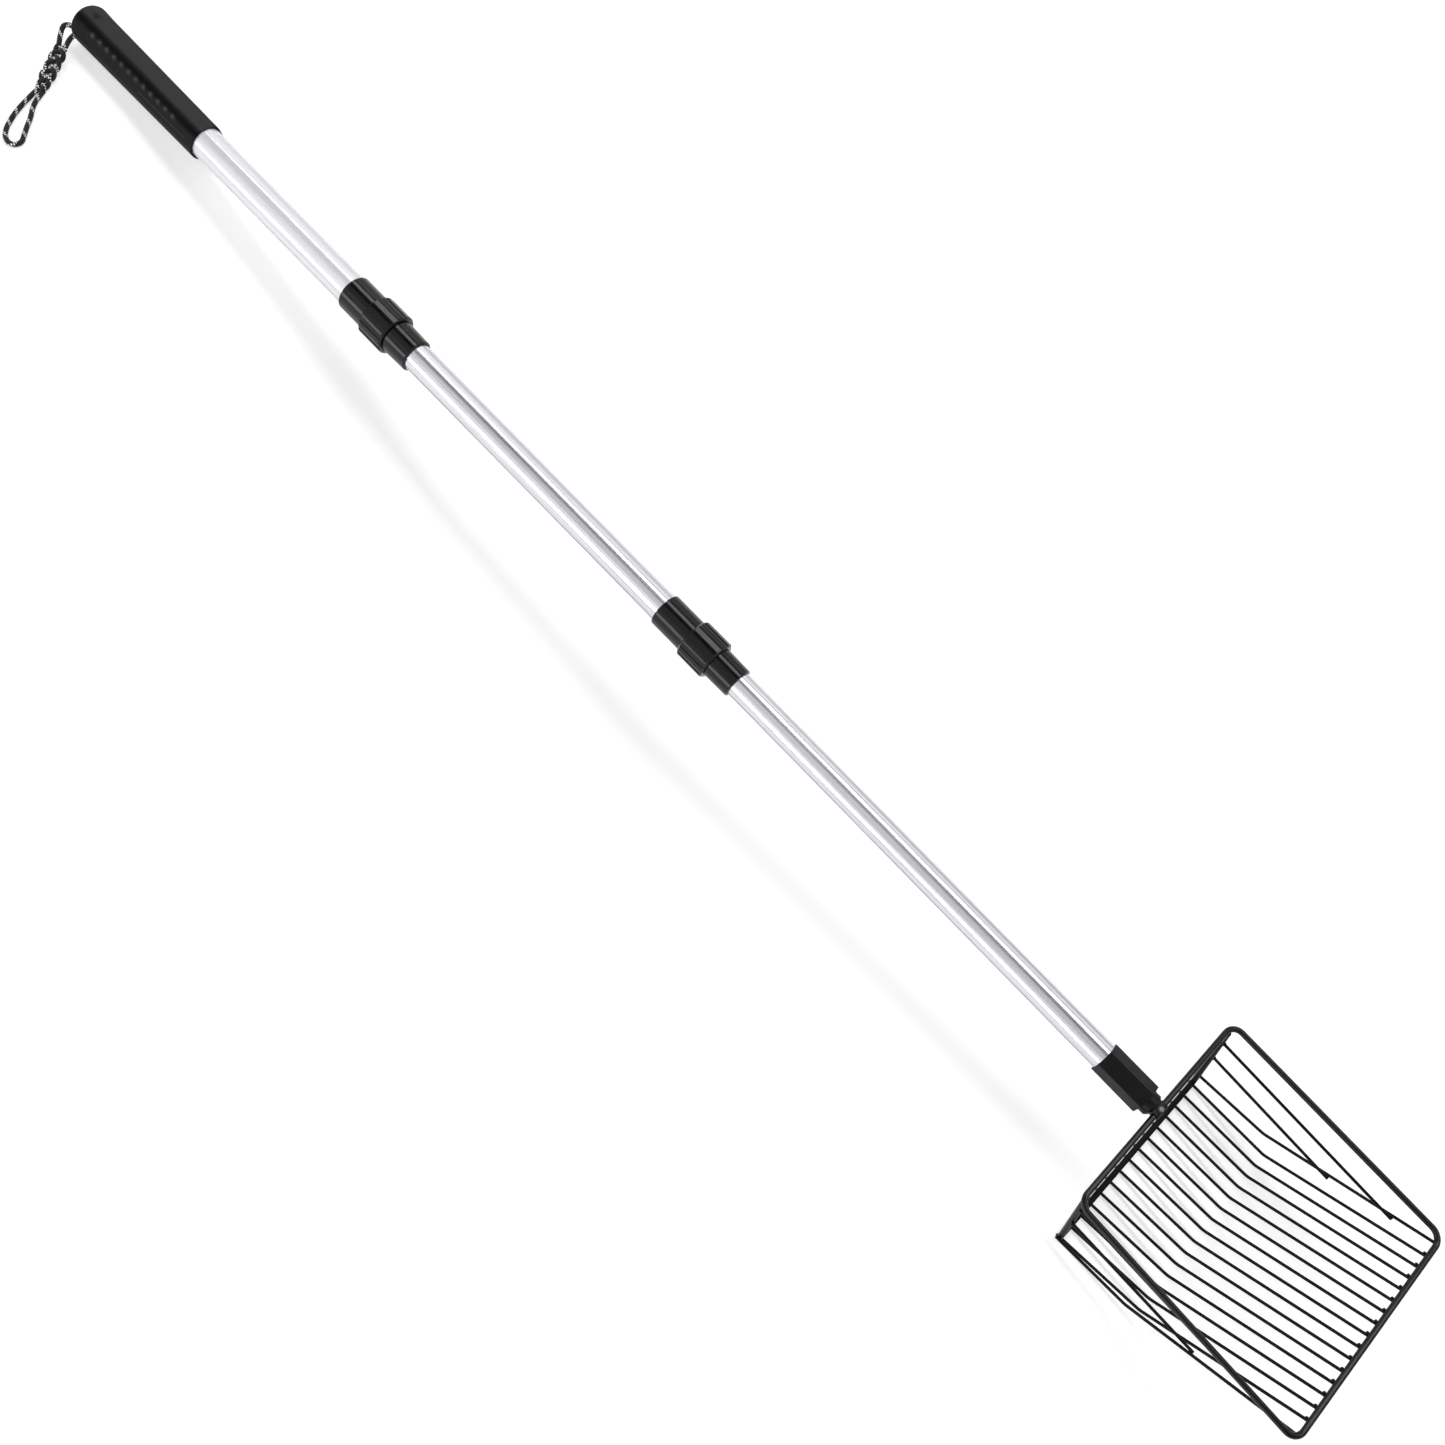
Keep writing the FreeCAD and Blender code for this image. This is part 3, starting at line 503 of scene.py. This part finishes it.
strand_end = cord_piece("strand_end", [(strand_end_line, 0.4)], ["lanyard_strand_end"])
strand_side = cord_piece("strand_side", [(strand_side_line, 1.9)], ["lanyard_strand_side"])
plait = cord_piece("plait", plait_lines(), ["lanyard_weave"])
loop = cord_piece("loop", [(loop_line, 0.0)], ["lanyard_loop"])


# grip

GRIP_LENGTH = 0.1643
GRIP_END_RADIUS = 0.0174
GRIP_MOUTH_RADIUS = 0.0162
GRIP_END_ROUND = 0.006
GRIP_BORE = 0.0141
BORE_SHOWN = 0.004
GRIP_SIDES = 240
END_CROWN = 0.0008
LIP_ROUND = 0.0006
# steps of the grip's outline: over the crown, the end's round edge and the lip, and along its length
CROWN_STEPS = 6
ROUND_STEPS = 8
LIP_STEPS = 4
FINE_STEP = 0.001
FINE_TO = 0.03
WIDE_STEP = 0.002
# facets along the grip: middle and half width in degrees from the top towards +X, and depth
FACETS = [(-10.0, 30.0, 0.0009), (28.0, 15.0, 0.0008), (64.0, 30.0, 0.0008), (-72.0, 26.0, 0.0007)]
FACETS_FROM = 0.010
FACETS_FADE = 0.012
DOTS = 12
DOT_ANGLE = 44.0
DOT_FIRST = 0.0284
DOT_PITCH = 0.00977
DOT_RADIUS = 0.0015
DOT_RISE = 0.0006
DOT_SUNK = 0.0003
DOT_TIP = 0.00005
DOT_SIDES = 20
DOT_LEVELS = 5
LINE_ANGLE = 72.0
LINE_HALF_WIDTH = 1.6
LINE_DEPTH = 0.0004
LINE_FROM = 0.092
LINE_TO = 0.156
DIMPLE_AT = 0.0165
DIMPLE_ANGLE = -6.0
DIMPLE_HALF_LENGTH = 0.0055
DIMPLE_HALF_WIDTH = 0.0045
DIMPLE_DEPTH = 0.0011
# painted light and shade of the grip: a lit top facet and a dimmer lower side, painted shade in the channel,
# at the edges, in the dimple and over the closed end, and painted highlights on the dots, round them and
# along the thin line;
# places, half widths and fades are degrees, reaches are shares of the feature's own width, and edges are
# powers that make a fade steeper when they are small
CHANNEL_ANGLE = 28.0
CHANNEL_HALF_WIDTH = 17.0
CHANNEL_EDGE = 0.4
TOP_PAINTED_LIGHT = 0.42
TOP_ENDS = -28.0
TOP_FADE = 14.0
LOW_PAINTED_LIGHT = 0.12
LOW_ENDS = 88.0
LOW_FADE = 10.0
SIDE_PAINTED_SHADE = 0.0
DOT_PAINTED_HIGHLIGHT = 0.62
HALO_PAINTED_HIGHLIGHT = 0.5
HALO_REACH = 2.7
LINE_PAINTED_HIGHLIGHT = 0.8
LINE_HIGHLIGHT_TURN = -2.0
LINE_HIGHLIGHT_REACH = 1.3
DIMPLE_PAINTED_SHADE = 0.6
DIMPLE_EDGE = 0.5
END_PAINTED_SHADE = 0.1


def hump(x):
    """Smooth rise and fall, one at the middle and nothing from -1 and +1 out."""
    return 0.5 + 0.5 * math.cos(math.pi * x) if abs(x) < 1 else 0.0


def clamp(x):
    """The number kept between 0 and 1."""
    return min(1.0, max(0.0, x))


def from_angle(turn, middle):
    """Degrees from one angle to another, the short way round."""
    return (turn - middle + 180) % 360 - 180


def from_dimple(station, turn):
    """How far a point lies from the middle of the dimple, with its edge and everything outside at 1."""
    around = math.radians(from_angle(turn, DIMPLE_ANGLE)) * GRIP_END_RADIUS / DIMPLE_HALF_WIDTH
    return min(1.0, math.hypot(around, (station - DIMPLE_AT) / DIMPLE_HALF_LENGTH))


def grip_radius(station, turn):
    """Radius of the grip's skin, with its taper, facets, thin line and dimple."""
    radius = GRIP_END_RADIUS + (GRIP_MOUTH_RADIUS - GRIP_END_RADIUS) * station / GRIP_LENGTH
    fade = clamp((station - FACETS_FROM) / FACETS_FADE)
    for middle, half, depth in FACETS:
        radius -= depth * hump(from_angle(turn, middle) / half) * fade
    if LINE_FROM < station < LINE_TO:
        radius -= LINE_DEPTH * hump(from_angle(turn, LINE_ANGLE) / LINE_HALF_WIDTH)
    return radius - DIMPLE_DEPTH * hump(from_dimple(station, turn))


def grip_profile():
    """Stations along the grip with the share of the full radius at each, or none for the bore."""
    core = GRIP_END_RADIUS - GRIP_END_ROUND
    rows = [(-END_CROWN * (1 - (k / CROWN_STEPS) ** 2), core * k / CROWN_STEPS)
            for k in range(1, CROWN_STEPS + 1)]
    for k in range(1, ROUND_STEPS + 1):
        a = math.radians(90 * k / ROUND_STEPS)
        rows.append((GRIP_END_ROUND * (1 - math.cos(a)), core + GRIP_END_ROUND * math.sin(a)))
    rows = [(station, radius / GRIP_END_RADIUS) for station, radius in rows]
    station = GRIP_END_ROUND + FINE_STEP
    while station < GRIP_LENGTH - LIP_ROUND - FINE_STEP / 2:
        rows.append((station, 1.0))
        station += FINE_STEP if station < FINE_TO else WIDE_STEP
    for k in range(LIP_STEPS + 1):
        a = math.radians(90 * k / LIP_STEPS)
        rows.append((GRIP_LENGTH - LIP_ROUND * (1 - math.sin(a)),
                     1.0 - LIP_ROUND * (1 - math.cos(a)) / GRIP_MOUTH_RADIUS))
    return rows + [(GRIP_LENGTH, None), (GRIP_LENGTH - BORE_SHOWN, None)]


def grip_painted_light(station, turn):
    """Painted light and shade, from painted shade in the channel and at the edges to painted highlights."""
    # the lit top facet and dimmer lower side are painted light, fading to painted shade at the edges
    if turn < CHANNEL_ANGLE:
        painted_light = TOP_PAINTED_LIGHT + (SIDE_PAINTED_SHADE - TOP_PAINTED_LIGHT) * clamp((TOP_ENDS - turn) / TOP_FADE)
    else:
        painted_light = LOW_PAINTED_LIGHT + (SIDE_PAINTED_SHADE - LOW_PAINTED_LIGHT) * clamp((turn - LOW_ENDS) / LOW_FADE)
    # painted shade in the recessed channel
    painted_light *= 1 - hump(from_angle(turn, CHANNEL_ANGLE) / CHANNEL_HALF_WIDTH) ** CHANNEL_EDGE
    # painted shade in the dimple
    painted_light *= 1 - DIMPLE_PAINTED_SHADE * hump(from_dimple(station, turn)) ** DIMPLE_EDGE
    # painted highlight round the nearest dot
    nearest = min(DOTS - 1, max(0, round((station - DOT_FIRST) / DOT_PITCH)))
    around = math.radians(from_angle(turn, DOT_ANGLE)) * GRIP_END_RADIUS
    away = math.hypot(around, station - DOT_FIRST - DOT_PITCH * nearest)
    painted_light += (HALO_PAINTED_HIGHLIGHT - painted_light) * hump(away / (DOT_RADIUS * HALO_REACH))
    # painted highlight along the thin line
    if LINE_FROM < station < LINE_TO:
        across = from_angle(turn, LINE_ANGLE + LINE_HIGHLIGHT_TURN)
        painted_light += (LINE_PAINTED_HIGHLIGHT - painted_light) * hump(across / (LINE_HALF_WIDTH * LINE_HIGHLIGHT_REACH))
    # over the closed end the painted light and shade fade to an even dim painted tone
    return END_PAINTED_SHADE + (painted_light - END_PAINTED_SHADE) * clamp(station / GRIP_END_ROUND)


def add_dot(build, station):
    """One of the raised round dots along the grip."""
    base = grip_radius(station, DOT_ANGLE) - DOT_SUNK
    out = (on_pole(station, DOT_ANGLE, 1) - on_pole(station)).normalized()
    along = (on_pole(1) - on_pole(0)).normalized()
    side = out.cross(along)
    last = None
    for level in range(DOT_LEVELS + 1):
        a = math.radians(90 * level / DOT_LEVELS)
        wide = DOT_RADIUS * math.cos(a) if level < DOT_LEVELS else DOT_TIP
        centre = on_pole(station) + out * (base + (DOT_RISE + DOT_SUNK) * math.sin(a))
        ring = []
        for k in range(DOT_SIDES):
            b = 2 * math.pi * k / DOT_SIDES
            ring.append(build.verts.new(centre + (along * math.cos(b) + side * math.sin(b)) * wide))
        if last:
            join(build, last, ring)
        last = ring
    build.faces.new(last)


def painted_light_at(place):
    """Painted light and shade of the grip at a point of its skin."""
    arm = place - POLE_AT
    up = Vector((0, -math.sin(POLE_PITCH), math.cos(POLE_PITCH)))
    turn = math.degrees(math.atan2(arm.x, arm.dot(up)))
    station = arm.dot(Vector((0, math.cos(POLE_PITCH), math.sin(POLE_PITCH))))
    return grip_painted_light(station, turn)


def build_grip():
    """Skin of the grip with its dots, down to a little way inside the bore."""
    build = bmesh.new()
    rings = []
    for station, share in grip_profile():
        ring = []
        for k in range(GRIP_SIDES):
            turn = 360 * k / GRIP_SIDES
            radius = GRIP_BORE if share is None else grip_radius(max(0.0, station), turn) * share
            ring.append(build.verts.new(on_pole(station, turn, radius)))
        rings.append(ring)
    cap = build.verts.new(on_pole(-END_CROWN))
    for k in range(GRIP_SIDES):
        build.faces.new((cap, rings[0][(k + 1) % GRIP_SIDES], rings[0][k]))
    for near, far in zip(rings, rings[1:]):
        join(build, near, far)
    dots_from = len(build.verts)
    for n in range(DOTS):
        add_dot(build, DOT_FIRST + DOT_PITCH * n)
    bmesh.ops.recalc_face_normals(build, faces=build.faces)
    mesh = bpy.data.meshes.new("grip_skin")
    build.to_mesh(mesh)
    build.free()
    smooth(mesh)
    # painted light and shade at every point, with a painted highlight over the dots
    painted_light = mesh.attributes.new(PAINTED_LIGHT, "FLOAT", "POINT")
    for spot, value in zip(mesh.vertices, painted_light.data):
        value.value = DOT_PAINTED_HIGHLIGHT if spot.index >= dots_from else painted_light_at(spot.co)
    item = add_object("grip_skin", mesh, "handle", "grip_black", GRIP)
    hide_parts("grip")


build_grip()


# welds of the basket

FRAME_WIRE = 0.0046
GRID_WIRE = 0.0024
BASKET_LENGTH = 0.2052
FLOOR_WIRES = 15
PITCH_FRONT = 0.01094
PITCH_BACK = 0.012
FRONT_DEPTH = 0.0033
LOWER_BAR_Y = 0.0287
LOWER_BAR_DEPTH = 0.09141
FLOOR_DEPTH = 0.095
LEG_X = 0.0855
LEG_LEAN = math.radians(16.5934)
LEG_LENGTH = 0.09312
SIDE_WIRES = [(0.0207, 0.0018), (0.0474, 0.0023)]
CORNER_WIRE_DEPTH = 0.086
CORNER_WIRE_X = 0.08905
CORNER_FRONT_DEPTH = 0.003
CORNER_RAMP = math.radians(32.19)
LEG_TOP_DEPTH = 0.0025
# half sizes of the beads: at the rim's front, on the lower bar, on the legs' tops, at the corner wires, and
# at the side wires' back and front ends
FRONT_BEAD = (0.0019, 0.0015, 0.0014)
FLOOR_BEAD = (0.0017, 0.0021, 0.0011)
LEG_BEAD = (0.0029, 0.0024, 0.0012)
CORNER_BEAD = (0.0011, 0.002, 0.0016)
SIDE_BACK_BEAD = (0.0018, 0.0012, 0.0018)
SIDE_FRONT_BEAD = (0.0012, 0.0021, 0.0014)
FRONT_BEAD_RISE = 0.0009
FLOOR_BEAD_RISE = 0.0016
BEAD_SPREAD = 0.12
BEAD_BULGE = 0.08


def leg_y(depth):
    """Place of a leg's centre line at a depth below the rim."""
    return LOWER_BAR_Y - (LOWER_BAR_DEPTH - depth) * math.tan(LEG_LEAN)


def weld_spots():
    """Places where the grid wires and legs meet the bars, with the half sizes of the bead at each."""
    spots = []
    for k in range(FLOOR_WIRES):
        place = k - FLOOR_WIRES // 2
        spots.append((on_rim(place * PITCH_FRONT, BASKET_LENGTH - FRAME_WIRE / 2,
                             FRONT_BEAD_RISE - FRONT_DEPTH), FRONT_BEAD))
        spots.append((on_rim(place * PITCH_BACK, LOWER_BAR_Y, FLOOR_BEAD_RISE - FLOOR_DEPTH), FLOOR_BEAD))
    leg_top = leg_y(LOWER_BAR_DEPTH - LEG_LENGTH * math.cos(LEG_LEAN))
    for side in (1, -1):
        spots.append((on_rim(side * LEG_X, leg_top, -LEG_TOP_DEPTH), LEG_BEAD))
        spots.append((on_rim(side * (LEG_X + FRAME_WIRE / 2), leg_y(CORNER_WIRE_DEPTH), -CORNER_WIRE_DEPTH),
                      CORNER_BEAD))
        for depth, out in SIDE_WIRES:
            spots.append((on_rim(side * (LEG_X + out), leg_y(depth) + FRAME_WIRE / 2, -depth),
                          SIDE_BACK_BEAD))
            meet = BASKET_LENGTH - (depth - CORNER_FRONT_DEPTH) / math.tan(CORNER_RAMP)
            spots.append((on_rim(side * (CORNER_WIRE_X - GRID_WIRE / 2), meet, -depth), SIDE_FRONT_BEAD))
    return spots


def build_welds():
    """Small uneven beads at the welds."""
    random.seed(7)
    build = bmesh.new()
    for centre, size in weld_spots():
        made = bmesh.ops.create_icosphere(build, subdivisions=3, radius=1.0)["verts"]
        wobble = [random.uniform(1 - BEAD_SPREAD, 1 + BEAD_SPREAD) for _ in range(3)]
        for spot in made:
            bulge = 1 + BEAD_BULGE * math.sin(5 * spot.co.x + wobble[0] * 9) * math.cos(4 * spot.co.y)
            spot.co = centre + Vector([spot.co[i] * size[i] * wobble[i] * bulge for i in range(3)])
    mesh = bpy.data.meshes.new("weld_beads")
    build.to_mesh(mesh)
    build.free()
    smooth(mesh)
    add_object("weld_beads", mesh, "head_section", "frame_wire", WIRE)


build_welds()


# stage

FLOOR_RADIUS = 3.2
SWEEP_ROUND = 0.8
SWEEP_STEPS = 8
STAGE_SIDES = 96
WALL_HEIGHT = 3.1
# The floor dips under the middle of the pole: pushed in along its slope, the basket comes lower than at rest.
DIP_DEPTH = 0.046
DIP_FROM = -0.64
DIP_DEEP_FROM = -0.2
DIP_DEEP_TO = 0.05
DIP_TO = 0.53
DIP_DEEP_WIDE = 0.25
DIP_WIDE = 0.8
DIP_RINGS = 40
RING_STEP = 0.03
STAGE_WHITE = 0.62
STAGE_LIFT = 0.58
CEILING = 0.05


def white_stage():
    """Lit white that also looks white to the camera and in reflections, and keeps shadows."""
    material = bpy.data.materials.new("stage_white")
    material.use_nodes = True
    nodes, links = material.node_tree.nodes, material.node_tree.links
    shader = nodes["Principled BSDF"]
    shader.inputs["Base Color"].default_value = (STAGE_WHITE, STAGE_WHITE, STAGE_WHITE, 1)
    shader.inputs["Roughness"].default_value = 0.9
    shader.inputs["Specular IOR Level"].default_value = 0.0
    shader.inputs["Emission Color"].default_value = (1, 1, 1, 1)
    path = nodes.new("ShaderNodeLightPath")
    seen = path.outputs["Is Camera Ray"]
    for ray in ("Is Glossy Ray", "Is Transmission Ray"):
        either = nodes.new("ShaderNodeMath")
        either.operation = "MAXIMUM"
        links.new(seen, either.inputs[0])
        links.new(path.outputs[ray], either.inputs[1])
        seen = either.outputs[0]
    lift = nodes.new("ShaderNodeMath")
    lift.operation = "MULTIPLY"
    lift.inputs[1].default_value = STAGE_LIFT
    links.new(seen, lift.inputs[0])
    links.new(lift.outputs[0], shader.inputs["Emission Strength"])
    return material


def floor_height(x, y):
    """Height of the floor, which dips gently between the grip and the basket."""
    along = min(1.0, (y - DIP_FROM) / (DIP_DEEP_FROM - DIP_FROM), (DIP_TO - y) / (DIP_TO - DIP_DEEP_TO))
    across = min(1.0, (DIP_WIDE - abs(x)) / (DIP_WIDE - DIP_DEEP_WIDE))
    return -DIP_DEPTH * max(0.0, along) * max(0.0, across)


def build_stage():
    """Round floor that sweeps up into a wall, open to a dimmer ceiling."""
    build = bmesh.new()
    profile = [(RING_STEP * n, 0.0) for n in range(1, DIP_RINGS + 1)] + [(FLOOR_RADIUS, 0.0)]
    for k in range(1, SWEEP_STEPS + 1):
        a = math.radians(90 * k / SWEEP_STEPS)
        profile.append((FLOOR_RADIUS + SWEEP_ROUND * math.sin(a), SWEEP_ROUND * (1 - math.cos(a))))
    profile.append((FLOOR_RADIUS + SWEEP_ROUND, WALL_HEIGHT))
    rings = []
    for radius, height in profile:
        ring = []
        for k in range(STAGE_SIDES):
            a = 2 * math.pi * k / STAGE_SIDES
            x, y = radius * math.cos(a), radius * math.sin(a)
            ring.append(build.verts.new((x, y, height or floor_height(x, y))))
        rings.append(ring)
    build.faces.new(rings[0])
    for near, far in zip(rings, rings[1:]):
        join(build, near, far)
    mesh = bpy.data.meshes.new("stage")
    bmesh.ops.recalc_face_normals(build, faces=build.faces)
    bmesh.ops.reverse_faces(build, faces=build.faces)
    build.to_mesh(mesh)
    build.free()
    smooth(mesh)
    mesh.materials.append(white_stage())
    stage = bpy.data.objects.new("stage", mesh)
    bpy.context.scene.collection.objects.link(stage)


def build_world():
    """Dim even light from above the walls."""
    world = bpy.data.worlds.new("studio")
    bpy.context.scene.world = world
    world.use_nodes = True
    background = world.node_tree.nodes["Background"]
    background.inputs["Color"].default_value = (1, 1, 1, 1)
    background.inputs["Strength"].default_value = CEILING


def add_lamp(name, place, aim, width, length, power):
    """Soft box that shows in reflections and not to the camera, its length along Y."""
    lamp = bpy.data.lights.new(name, "AREA")
    lamp.shape = "RECTANGLE"
    lamp.size = length
    lamp.size_y = width
    lamp.energy = power
    item = bpy.data.objects.new(name, lamp)
    bpy.context.scene.collection.objects.link(item)
    back = (Vector(place) - Vector(aim)).normalized()
    along = Vector((0, 1, 0))
    along = (along - back * along.dot(back)).normalized()
    turned = Matrix((along, back.cross(along), back)).transposed().to_4x4()
    item.matrix_world = Matrix.Translation(place) @ turned
    item.visible_camera = False


# name, place, aim, width, length and power in watts
LAMPS = [
    ("key", (-0.97, -0.5, 2.5), (0, -0.5, 0), 0.75, 4.4, 56),
    ("side", (-1.8, -0.5, 1.6), (0, -0.5, 0), 1.0, 4.4, 9),
    ("soft", (1.4, -0.4, 2.3), (0, -0.4, 0), 2.2, 4.4, 20),
    ("low", (2.3, -0.4, 0.45), (0, -0.4, 0.05), 0.65, 4.0, 34),
]

build_stage()
build_world()
for settings in LAMPS:
    add_lamp(*settings)
bpy.context.scene.view_settings.view_transform = "Standard"
